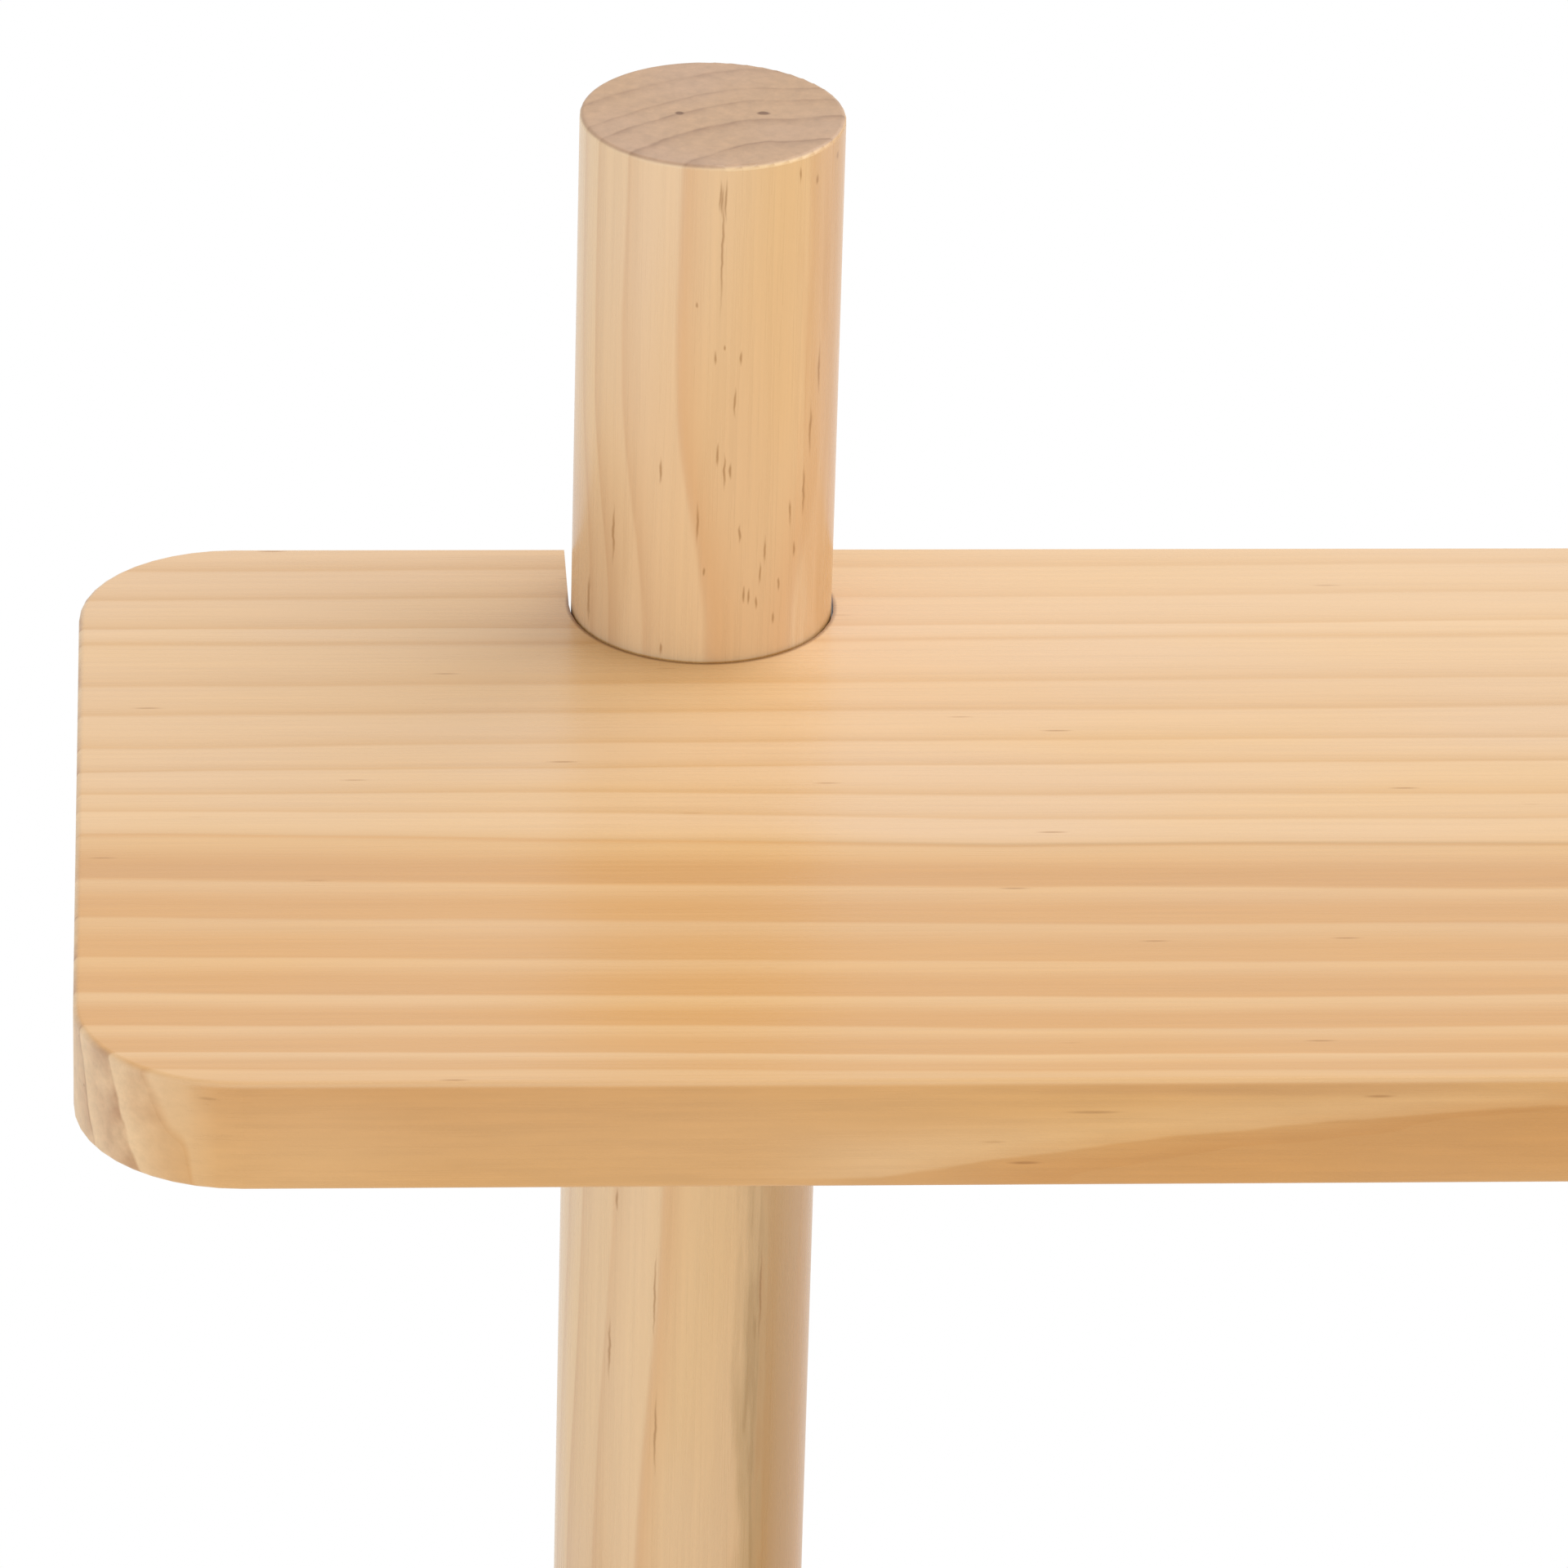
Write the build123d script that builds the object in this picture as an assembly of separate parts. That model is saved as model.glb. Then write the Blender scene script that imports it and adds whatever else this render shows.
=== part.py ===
"""Wall-hung Shaker peg rail with a shelf, in solid pine.

Two round posts stand against the wall. A shelf with rounded corners is notched around both posts
near their tops, and a peg rail is saddled onto the front of the posts lower down. Six turned pegs
are glued into the rail. M6 bolts let into the backs of the posts draw the shelf and the rail onto
them: the shelf's bolts end in barrel nuts, and the rail's bolts in threaded inserts.

Millimetres. X runs along the shelf, -Y is the front, and +Z is up. The wall is the plane Y = 0,
and the origin is the centre of the four wall screw holes on that plane.
"""

from build123d import *
import os

# Posts
POST_DIAMETER = 42.0
POST_LENGTH = 420.0
POST_SPACING = 700.0
POST_ABOVE_SHELF = 86.0
POST_END_EASE = 0.8

# Wall screw holes, two in each post, for 5 mm screws with the heads let in
WALL_HOLE_SPACING_Z = 254.0
WALL_HOLE_RADIUS = 2.75
WALL_HEAD_RADIUS = 5.5
WALL_HEAD_DEPTH = 8.0

# Boards: the shelf and the peg rail are cut from the same planed stock
BOARD_THICKNESS = 18.0
BOARD_LENGTH = 900.0
CORNER_RADIUS = 25.0
EDGE_EASE = 1.0
SHELF_DEPTH = 180.0
SHELF_TOP_ABOVE_HOLE = 50.0
NOTCH_GAP = 0.35
RAIL_HEIGHT = 80.0
RAIL_CENTRE_ABOVE_HOLE = 64.0
SADDLE_DEPTH = 4.0
SADDLE_GAP = 0.1

# Pegs, by radius and by distance out from the rail's face
PEG_COUNT = 6
PEG_PITCH = 160.0
PEG_LENGTH = 76.0
PEG_TENON_RADIUS = 6.0
PEG_TENON_LENGTH = 15.0
PEG_TENON_CHAMFER = 0.8
PEG_COLLAR_RADIUS = 10.0
PEG_COLLAR_LENGTH = 2.5
PEG_COLLAR_ROUND = 0.8
PEG_SHANK_RADIUS = 8.4
PEG_NECK_RADIUS = 5.5
PEG_NECK_AT = 49.0
PEG_RIM_RADIUS = 12.8
PEG_RIM_AT = 68.0
PEG_RIM_ROUND = 2.0

# M6 socket-head bolts, with washers on the floors of counterbores
BOLT_RADIUS = 3.0
BOLT_HEAD_RADIUS = 5.0
BOLT_HEAD_HEIGHT = 6.0
BOLT_HEAD_ROUND = 0.4
BOLT_TIP_CHAMFER = 0.8
SOCKET_ACROSS_FLATS = 5.0
SOCKET_DEPTH = 3.0
SHELF_BOLT_LENGTH = 70.0
RAIL_BOLT_LENGTH = 45.0
BOLT_HOLE_RADIUS = 3.3
BOLT_HOLE_BEYOND_TIP = 3.0
WASHER_RADIUS = 6.0
WASHER_HOLE_RADIUS = 3.2
WASHER_THICKNESS = 1.6
COUNTERBORE_RADIUS = 6.25
COUNTERBORE_DEPTH = 9.0

# Barrel nuts in the shelf, and threaded inserts in the rail
BARREL_RADIUS = 5.0
BARREL_LENGTH = 12.0
BARREL_FROM_POST = 24.0
BARREL_SLOT_WIDTH = 1.2
BARREL_SLOT_DEPTH = 1.5
INSERT_RADIUS = 5.0
INSERT_THREAD_RADIUS = 5.8
INSERT_LENGTH = 11.0
INSERT_THREADS = 4
INSERT_THREAD_WIDTH = 1.0
FIXED_FIT_GAP = 0.05

# Worked out from the dimensions above
POST_RADIUS = POST_DIAMETER / 2
POST_Y = -POST_RADIUS
POST_FRONT_Y = -POST_DIAMETER
POST_XS = (-POST_SPACING / 2, POST_SPACING / 2)
UPPER_HOLE_Z = WALL_HOLE_SPACING_Z / 2
LOWER_HOLE_Z = -WALL_HOLE_SPACING_Z / 2
SHELF_TOP_Z = UPPER_HOLE_Z + SHELF_TOP_ABOVE_HOLE
SHELF_UNDERSIDE_Z = SHELF_TOP_Z - BOARD_THICKNESS
SHELF_MID_Z = SHELF_TOP_Z - BOARD_THICKNESS / 2
POST_MID_Z = SHELF_TOP_Z + POST_ABOVE_SHELF - POST_LENGTH / 2
RAIL_MID_Z = LOWER_HOLE_Z + RAIL_CENTRE_ABOVE_HOLE
RAIL_BACK_Y = POST_FRONT_Y + SADDLE_DEPTH
RAIL_FRONT_Y = RAIL_BACK_Y - BOARD_THICKNESS
WASHER_SEAT_Y = -COUNTERBORE_DEPTH
HEAD_SEAT_Y = WASHER_SEAT_Y + WASHER_THICKNESS
BARREL_Y = POST_FRONT_Y - BARREL_FROM_POST
INSERT_BACK_Y = POST_FRONT_Y - SADDLE_GAP
PEG_XS = [(i - (PEG_COUNT - 1) / 2) * PEG_PITCH for i in range(PEG_COUNT)]


def rod_y(radius, start_y, end_y, x, z):
    """A cylinder that lies along Y between start_y and end_y."""
    return Pos(x, (start_y + end_y) / 2, z) * Rot(90, 0, 0) * Cylinder(radius, abs(start_y - end_y))


def eased_board(depth):
    """A flat board with rounded corners and eased edges, its underside on Z = 0."""
    board = extrude(RectangleRounded(BOARD_LENGTH, depth, CORNER_RADIUS), BOARD_THICKNESS)
    faces = board.faces().sort_by(Axis.Z)
    return fillet(faces[0].edges() + faces[-1].edges(), EDGE_EASE)


def post(x):
    """A turned post with eased ends, two wall screw holes and two counterbored bolt holes."""
    body = Pos(x, POST_Y, POST_MID_Z) * Cylinder(POST_RADIUS, POST_LENGTH)
    body = fillet(body.edges().filter_by(GeomType.CIRCLE), POST_END_EASE)
    behind_y = POST_RADIUS
    before_y = POST_FRONT_Y - POST_RADIUS
    for z in (UPPER_HOLE_Z, LOWER_HOLE_Z):
        body -= rod_y(WALL_HOLE_RADIUS, behind_y, before_y, x, z)
        body -= rod_y(WALL_HEAD_RADIUS, POST_FRONT_Y + WALL_HEAD_DEPTH, before_y, x, z)
    for z in (SHELF_MID_Z, RAIL_MID_Z):
        body -= rod_y(BOLT_HOLE_RADIUS, behind_y, before_y, x, z)
        body -= rod_y(COUNTERBORE_RADIUS, behind_y, WASHER_SEAT_Y, x, z)
    return body


def notch_cutter(x):
    """The U-shaped notch, open at the shelf's back edge, that takes one post."""
    radius = POST_RADIUS + NOTCH_GAP
    plan = Pos(0, POST_Y) * Circle(radius) + Rectangle(2 * radius, 2 * POST_RADIUS)
    return Pos(x, 0, SHELF_MID_Z) * extrude(plan, BOARD_THICKNESS, both=True)


def shelf_board():
    """The shelf, with a notch, a bolt hole and a blind barrel nut hole for each post."""
    board = Pos(0, -SHELF_DEPTH / 2, SHELF_UNDERSIDE_Z) * eased_board(SHELF_DEPTH)
    bolt_hole_end_y = HEAD_SEAT_Y - SHELF_BOLT_LENGTH - BOLT_HOLE_BEYOND_TIP
    barrel_hole_top_z = SHELF_MID_Z + BARREL_LENGTH / 2 + FIXED_FIT_GAP
    barrel_hole = Cylinder(BARREL_RADIUS + FIXED_FIT_GAP, 2 * (barrel_hole_top_z - SHELF_UNDERSIDE_Z))
    for x in POST_XS:
        board -= notch_cutter(x)
        board -= rod_y(BOLT_HOLE_RADIUS, POST_Y, bolt_hole_end_y, x, SHELF_MID_Z)
        board -= Pos(x, BARREL_Y, SHELF_UNDERSIDE_Z) * barrel_hole
    return board


def peg_rail():
    """The peg rail, with a saddle and an insert hole for each post, and blind holes for the pegs."""
    board = Pos(0, RAIL_BACK_Y, RAIL_MID_Z) * Rot(90, 0, 0) * eased_board(RAIL_HEIGHT)
    saddle = Cylinder(POST_RADIUS + SADDLE_GAP, 2 * RAIL_HEIGHT)
    insert_hole_radius = INSERT_THREAD_RADIUS + FIXED_FIT_GAP
    insert_hole_end_y = INSERT_BACK_Y - INSERT_LENGTH - FIXED_FIT_GAP
    for x in POST_XS:
        board -= Pos(x, POST_Y, RAIL_MID_Z) * saddle
        board -= rod_y(insert_hole_radius, POST_Y, insert_hole_end_y, x, RAIL_MID_Z)
    peg_hole_end_y = RAIL_FRONT_Y + PEG_TENON_LENGTH + FIXED_FIT_GAP
    before_y = RAIL_FRONT_Y - BOARD_THICKNESS
    for x in PEG_XS:
        board -= rod_y(PEG_TENON_RADIUS + FIXED_FIT_GAP, peg_hole_end_y, before_y, x, RAIL_MID_Z)
    return board


def peg(x):
    """One turned peg: tenon, collar, long hollow shank, narrow neck and a domed mushroom head."""
    tenon_end = (0, PEG_TENON_LENGTH)
    tenon_edge = (PEG_TENON_RADIUS, PEG_TENON_LENGTH)
    tenon_root = (PEG_TENON_RADIUS, 0)
    collar_back = (PEG_COLLAR_RADIUS, 0)
    collar_front = (PEG_COLLAR_RADIUS, -PEG_COLLAR_LENGTH)
    shank = (PEG_SHANK_RADIUS, -PEG_COLLAR_LENGTH)
    neck = (PEG_NECK_RADIUS, -PEG_NECK_AT)
    rim = (PEG_RIM_RADIUS, -PEG_RIM_AT)
    tip = (0, -PEG_LENGTH)
    outline = Polyline(tip, tenon_end, tenon_edge, tenon_root, collar_back, collar_front, shank)
    outline += TangentArc(neck, shank, tangent=(0, 1))
    outline += TangentArc(neck, rim, tangent=(0, -1))
    outline += TangentArc(tip, rim, tangent=(1, 0))
    profile = make_face(outline)
    for corner, radius in ((collar_front, PEG_COLLAR_ROUND), (rim, PEG_RIM_ROUND)):
        profile = fillet(profile.vertices().sort_by_distance(corner)[0], radius)
    profile = chamfer(profile.vertices().sort_by_distance(tenon_edge)[0], PEG_TENON_CHAMFER)
    return Pos(x, RAIL_FRONT_Y, RAIL_MID_Z) * revolve(profile, Axis.Y)


def bolt(x, z, length):
    """An M6 socket-head bolt whose head sits on a washer in the back of a post."""
    head_top_y = HEAD_SEAT_Y + BOLT_HEAD_HEIGHT
    shank = rod_y(BOLT_RADIUS, HEAD_SEAT_Y, HEAD_SEAT_Y - length, x, z)
    tip = shank.edges().filter_by(GeomType.CIRCLE).sort_by(Axis.Y)[0]
    shank = chamfer(tip, BOLT_TIP_CHAMFER)
    head = rod_y(BOLT_HEAD_RADIUS, head_top_y, HEAD_SEAT_Y, x, z)
    rim = head.edges().filter_by(GeomType.CIRCLE).sort_by(Axis.Y)[-1]
    head = fillet(rim, BOLT_HEAD_ROUND)
    socket = extrude(RegularPolygon(SOCKET_ACROSS_FLATS / 3**0.5, 6), SOCKET_DEPTH)
    return shank + head - Pos(x, head_top_y, z) * Rot(90, 0, 0) * socket


def washer(x, z):
    """A plain washer on the floor of a counterbore."""
    disc = rod_y(WASHER_RADIUS, HEAD_SEAT_Y, WASHER_SEAT_Y, x, z)
    return disc - rod_y(WASHER_HOLE_RADIUS, 0, 2 * WASHER_SEAT_Y, x, z)


def barrel_nut(x):
    """A cross-drilled barrel nut, let into the shelf's underside, with a slot to turn it by."""
    body = Pos(x, BARREL_Y, SHELF_MID_Z) * Cylinder(BARREL_RADIUS, BARREL_LENGTH)
    slot = Box(3 * BARREL_RADIUS, BARREL_SLOT_WIDTH, 2 * BARREL_SLOT_DEPTH)
    body -= Pos(x, BARREL_Y, SHELF_MID_Z - BARREL_LENGTH / 2) * slot
    return body - rod_y(BOLT_RADIUS + FIXED_FIT_GAP, 0, 2 * BARREL_Y, x, SHELF_MID_Z)


def insert_nut(x):
    """A threaded insert in the back of the rail, its coarse outer thread drawn as rings."""
    body = rod_y(INSERT_RADIUS, INSERT_BACK_Y, INSERT_BACK_Y - INSERT_LENGTH, x, RAIL_MID_Z)
    pitch = INSERT_LENGTH / INSERT_THREADS
    for i in range(INSERT_THREADS):
        ring_y = INSERT_BACK_Y - i * pitch - (pitch - INSERT_THREAD_WIDTH) / 2
        body += rod_y(INSERT_THREAD_RADIUS, ring_y, ring_y - INSERT_THREAD_WIDTH, x, RAIL_MID_Z)
    return body - rod_y(BOLT_RADIUS + FIXED_FIT_GAP, 0, 2 * INSERT_BACK_Y, x, RAIL_MID_Z)


def save(name, *solids):
    """Writes one node, which may hold several like solids."""
    shape = solids[0] if len(solids) == 1 else Compound(children=list(solids))
    export_step(shape, f"parts/{name}.step")


os.makedirs("parts", exist_ok=True)
save("shelf_board", shelf_board())
save("post_left", post(POST_XS[0]))
save("post_right", post(POST_XS[1]))
save("peg_rail", peg_rail())
for number, peg_x in enumerate(PEG_XS, 1):
    save(f"peg_{number}", peg(peg_x))
save("shelf_bolts", *[bolt(x, SHELF_MID_Z, SHELF_BOLT_LENGTH) for x in POST_XS])
save("rail_bolts", *[bolt(x, RAIL_MID_Z, RAIL_BOLT_LENGTH) for x in POST_XS])
save("bolt_washers", *[washer(x, z) for x in POST_XS for z in (SHELF_MID_Z, RAIL_MID_Z)])
save("barrel_nuts", *[barrel_nut(x) for x in POST_XS])
save("rail_insert_nuts", *[insert_nut(x) for x in POST_XS])
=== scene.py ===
import math
import bpy
from mathutils import Matrix, Vector


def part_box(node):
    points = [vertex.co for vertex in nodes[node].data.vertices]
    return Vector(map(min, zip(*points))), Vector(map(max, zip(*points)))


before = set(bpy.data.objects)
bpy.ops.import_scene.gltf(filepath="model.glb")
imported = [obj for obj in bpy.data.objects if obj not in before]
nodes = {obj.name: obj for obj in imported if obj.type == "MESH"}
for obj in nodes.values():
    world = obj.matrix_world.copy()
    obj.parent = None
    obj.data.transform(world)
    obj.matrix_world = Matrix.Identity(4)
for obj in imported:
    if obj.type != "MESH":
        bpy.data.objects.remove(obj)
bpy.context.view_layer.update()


# ---- Shelf -------------------------------------------------------------------------------------
# The shelf is one planed plank of clear pine, 18 mm thick, notched around the posts and bolted to
# them from behind. The year rings stand steeply in it, so they are straight lines along the top,
# pale at the back and warmer in front, and lean forward as they go down its ends.

MM = 0.001


def linear(hex_colour):
    """An sRGB hex colour as linear RGBA."""
    channels = [int(hex_colour[i:i + 2], 16) / 255 for i in (1, 3, 5)]
    return [c / 12.92 if c <= 0.04045 else ((c + 0.055) / 1.055) ** 2.4 for c in channels] + [1.0]


def add(tree, kind, settings, inputs):
    """Adds a shader node, makes its settings, and gives its inputs values, or nodes or sockets to follow."""
    node = tree.nodes.new("ShaderNode" + kind)
    for name, value in settings.items():
        setattr(node, name, value)
    for key, value in inputs.items():
        if isinstance(value, bpy.types.Node):
            value = value.outputs[0]
        if isinstance(value, bpy.types.NodeSocket):
            tree.links.new(value, node.inputs[key])
        else:
            node.inputs[key].default_value = value
    return node


def ring_seasons(tree, growth, ring_edges):
    """Which year's ring a point lies in, and how far through that year's growth it is, from 0 to 1."""
    years = None
    for inner, outer in zip(ring_edges, ring_edges[1:]):
        grown = add(tree, "MapRange", {}, {"Value": growth, "From Min": inner, "From Max": outer})
        years = add(tree, "Math", {"operation": "ADD"}, {0: years, 1: grown}) if years else grown
    year = add(tree, "Math", {"operation": "FLOOR"}, {0: years})
    season = add(tree, "Math", {"operation": "FRACT"}, {0: years})
    return year, season


def tinted(tree, wood, where, tone):
    """The wood's colour multiplied by a tone, as far as where goes from 0 to 1."""
    tint = add(tree, "Mix", {"data_type": "RGBA"}, {0: where, 6: (1, 1, 1, 1), 7: (*tone, 1)})
    return add(tree, "VectorMath", {"operation": "MULTIPLY"}, {0: wood, 1: tint.outputs[2]})


def stained(tree, wood, where, colour):
    """The wood covered by a hex colour, as far as where goes from 0 to 1."""
    return add(tree, "Mix", {"data_type": "RGBA"}, {0: where, 6: wood, 7: linear(colour)}).outputs[2]


def pine(name, grain, growth_of, ring_edges, warm_between, darkens, colours, end_steepness, fleck_share,
         ends=None, marks=None):
    """Clear pine under a thin satin lacquer: pale gold, with darker lines and soft highlights.

    grain is the axis that the fibres run along. growth_of gives the distance grown outwards from
    the tree's centre, in mm, and ring_edges are the distances at which one year ends. Pale wood
    turns to warm wood between the two growths of warm_between, and each year's warm wood darkens
    between the two shares of the year in darkens. A higher end_steepness gives the end grain
    thinner dark lines, and fleck_share is how many of the resin canals show. ends are the heights
    of two flat sawn ends. marks adds what one piece alone has.
    """
    material = bpy.data.materials.new(name)
    material.use_nodes = True
    tree = material.node_tree
    tree.nodes.clear()
    coordinates = add(tree, "TexCoord", {}, {})
    place = add(tree, "VectorMath", {"operation": "SCALE"},
                {0: coordinates.outputs["Object"], "Scale": 1 / MM})

    def streaky(across_mm, along_mm, detail, roughness):
        """Noise that is drawn out along the grain."""
        scale = [1 / across_mm] * 3
        scale[grain] = 1 / along_mm
        stretched = add(tree, "VectorMath", {"operation": "MULTIPLY"}, {0: place, 1: scale})
        return add(tree, "TexNoise", {}, {"Vector": stretched, "Scale": 1.0, "Detail": detail,
                                          "Roughness": roughness})

    # The rings wander by a millimetre or so over a hand's width, and no year is like the next.
    wander = add(tree, "MapRange", {}, {"Value": streaky(20, 130, 2.0, 0.45), "To Min": -1.4, "To Max": 1.4})
    wobble = add(tree, "MapRange", {}, {"Value": streaky(4, 50, 2.0, 0.5), "To Min": -0.6, "To Max": 0.6})
    axes = add(tree, "SeparateXYZ", {}, {0: place})
    growth = growth_of(tree, axes.outputs["X"], axes.outputs["Y"], axes.outputs["Z"])
    growth = add(tree, "Math", {"operation": "ADD"}, {0: growth, 1: wander})
    growth = add(tree, "Math", {"operation": "ADD"}, {0: growth, 1: wobble})
    year, season = ring_seasons(tree, growth, ring_edges)
    luck = add(tree, "TexWhiteNoise", {"noise_dimensions": "1D"}, {"W": year})
    luck = add(tree, "SeparateColor", {}, {0: luck.outputs["Color"]})
    weakest = add(tree, "MapRange", {}, {"Value": luck.outputs[0], "To Min": 0.0, "To Max": 0.25})
    strongest = add(tree, "MapRange", {}, {"Value": luck.outputs[1], "To Min": 0.75, "To Max": 1.05})

    # Pale wood only ends each year in a dark line. Warm wood is dark for a larger part of the year.
    warm = add(tree, "MapRange", {"interpolation_type": "SMOOTHSTEP"},
               {"Value": growth, "From Min": warm_between[0], "From Max": warm_between[1]})
    pale_late = add(tree, "Math", {"operation": "POWER"}, {0: season, 1: 4.0})
    turning = add(tree, "MapRange", {"interpolation_type": "SMOOTHSTEP"},
                  {"Value": season, "From Min": darkens[0], "From Max": darkens[1]})
    last_year = add(tree, "MapRange", {"interpolation_type": "SMOOTHSTEP"},
                    {"Value": season, "From Min": 0.1, "From Max": 0.0})
    warm_late = add(tree, "Math", {"operation": "MAXIMUM"}, {0: turning, 1: last_year})
    pale_late = add(tree, "Math", {"operation": "MAXIMUM"}, {0: pale_late, 1: last_year})
    late = add(tree, "Mix", {}, {0: warm, 2: pale_late, 3: warm_late})
    late = add(tree, "MapRange", {}, {"Value": late, "To Min": weakest, "To Max": strongest})
    early_wood = add(tree, "Mix", {"data_type": "RGBA"}, {0: warm, 6: linear(colours["pale early"]),
                                                          7: linear(colours["warm early"])})
    late_wood = add(tree, "Mix", {"data_type": "RGBA"}, {0: warm, 6: linear(colours["pale late"]),
                                                         7: linear(colours["warm late"])})
    side = add(tree, "Mix", {"data_type": "RGBA"},
               {0: late, 6: early_wood.outputs[2], 7: late_wood.outputs[2]})

    # Cut fibre ends drink the lacquer, so they are duller, pinker and a little darker, in mottles
    # of 2.5 mm, and their dark lines break off every 6 mm or so.
    end_late = add(tree, "Math", {"operation": "POWER"}, {0: season, 1: end_steepness})
    end_late = add(tree, "Math", {"operation": "MAXIMUM"}, {0: end_late, 1: last_year})
    end_strength = add(tree, "MapRange", {}, {"Value": luck.outputs[2], "To Min": 0.2, "To Max": 1.0})
    end_late = add(tree, "Math", {"operation": "MULTIPLY"}, {0: end_late, 1: end_strength})
    breaks = add(tree, "TexNoise", {}, {"Vector": place, "Scale": 1 / 6, "Detail": 3.0})
    breaks = add(tree, "MapRange", {}, {"Value": breaks, "From Min": 0.35, "From Max": 0.6, "To Min": 0.35})
    end_late = add(tree, "Math", {"operation": "MULTIPLY"}, {0: end_late, 1: breaks})
    end = add(tree, "Mix", {"data_type": "RGBA"}, {0: end_late, 6: linear(colours["end early"]),
                                                   7: linear(colours["end late"])})
    mottle = add(tree, "TexNoise", {}, {"Vector": place, "Scale": 1 / 2.5, "Detail": 5.0, "Roughness": 0.7})
    mottle = add(tree, "MapRange", {}, {"Value": mottle, "From Min": 0.3, "From Max": 0.7,
                                        "To Min": 0.9, "To Max": 1.1})
    end = add(tree, "VectorMath", {"operation": "SCALE"}, {0: end.outputs[2], "Scale": mottle})
    if ends:
        middle = (ends[0] + ends[1]) / 2
        half_length = (ends[1] - ends[0]) / 2
        from_middle = add(tree, "Math", {"operation": "SUBTRACT"}, {0: axes.outputs["Z"], 1: middle})
        facing = add(tree, "Math", {"operation": "ABSOLUTE"}, {0: from_middle})
        facing_between = (half_length - 0.6, half_length - 0.1)
    else:
        grain_direction = [0.0, 0.0, 0.0]
        grain_direction[grain] = 1.0
        along_grain = add(tree, "VectorMath", {"operation": "DOT_PRODUCT"}, {0: coordinates.outputs["Normal"],
                                                                             1: grain_direction})
        facing = add(tree, "Math", {"operation": "ABSOLUTE"}, {0: along_grain.outputs["Value"]})
        facing_between = (0.25, 0.85)
    end_grain = add(tree, "MapRange", {"interpolation_type": "SMOOTHSTEP"},
                    {"Value": facing, "From Min": facing_between[0], "From Max": facing_between[1]})
    wood = add(tree, "Mix", {"data_type": "RGBA"}, {0: end_grain, 6: side.outputs[2], 7: end})

    # Fibres: they are finer than a hair, so bundles 1.1 mm wide and 50 mm long are drawn instead.
    fibres = streaky(1.1, 50, 4.0, 0.6)
    fibre_shade = add(tree, "MapRange", {}, {"Value": fibres, "From Min": 0.3, "From Max": 0.7,
                                             "To Min": 0.96, "To Max": 1.03})
    wood = add(tree, "VectorMath", {"operation": "SCALE"}, {0: wood.outputs[2], "Scale": fibre_shade})

    # Broad, faint patches of pinker and yellower wood, 30 mm wide and 90 mm long.
    patches = add(tree, "MapRange", {}, {"Value": streaky(30, 90, 2.0, 0.5),
                                         "From Min": 0.35, "From Max": 0.65})
    patch_tint = add(tree, "Mix", {"data_type": "RGBA"}, {0: patches, 6: (0.99, 1.0, 1.06, 1),
                                                          7: (1.01, 0.99, 0.93, 1)})
    wood = add(tree, "VectorMath", {"operation": "MULTIPLY"}, {0: wood, 1: patch_tint.outputs[2]})

    # Resin canals: dark flecks a few millimetres long, 4 mm apart across the grain and 36 mm along
    # it. Real ones are 0.2 mm wide, and these up to 0.7 mm, so that they show.
    fleck_scale = [1 / 4] * 3
    fleck_scale[grain] = 1 / 36
    stretched = add(tree, "VectorMath", {"operation": "MULTIPLY"}, {0: place, 1: fleck_scale})
    canals = add(tree, "TexVoronoi", {}, {"Vector": stretched, "Scale": 1.0})
    fleck = add(tree, "MapRange", {"interpolation_type": "SMOOTHSTEP"},
                {"Value": canals, "From Min": 0.02, "From Max": 0.09, "To Min": 0.55, "To Max": 0.0})
    canal_luck = add(tree, "SeparateColor", {}, {0: canals.outputs["Color"]})
    chosen = add(tree, "Math", {"operation": "LESS_THAN"}, {0: canal_luck, 1: fleck_share})
    fleck = add(tree, "Math", {"operation": "MULTIPLY"}, {0: fleck, 1: chosen})
    wood = stained(tree, wood, fleck, "#9C6830")
    if marks:
        wood = marks(tree, place, growth, end_grain, wood)

    # Satin lacquer shines softly and follows the fibres. It is duller on the end grain.
    roughness = add(tree, "MapRange", {}, {"Value": fibres, "To Min": 0.22, "To Max": 0.34})
    roughness = add(tree, "Math", {"operation": "MULTIPLY_ADD"}, {0: end_grain, 1: 0.15, 2: roughness})
    bump = add(tree, "Bump", {}, {"Strength": 0.25, "Distance": 0.05 * MM, "Height": fibres})
    shader = add(tree, "BsdfPrincipled", {}, {"Base Color": wood, "Roughness": roughness, "IOR": 1.5,
                                              "Normal": bump})
    add(tree, "OutputMaterial", {}, {"Surface": shader})
    return material


def dress(node, material):
    """Gives a node one material."""
    nodes[node].data.materials.clear()
    nodes[node].data.materials.append(material)


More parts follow.
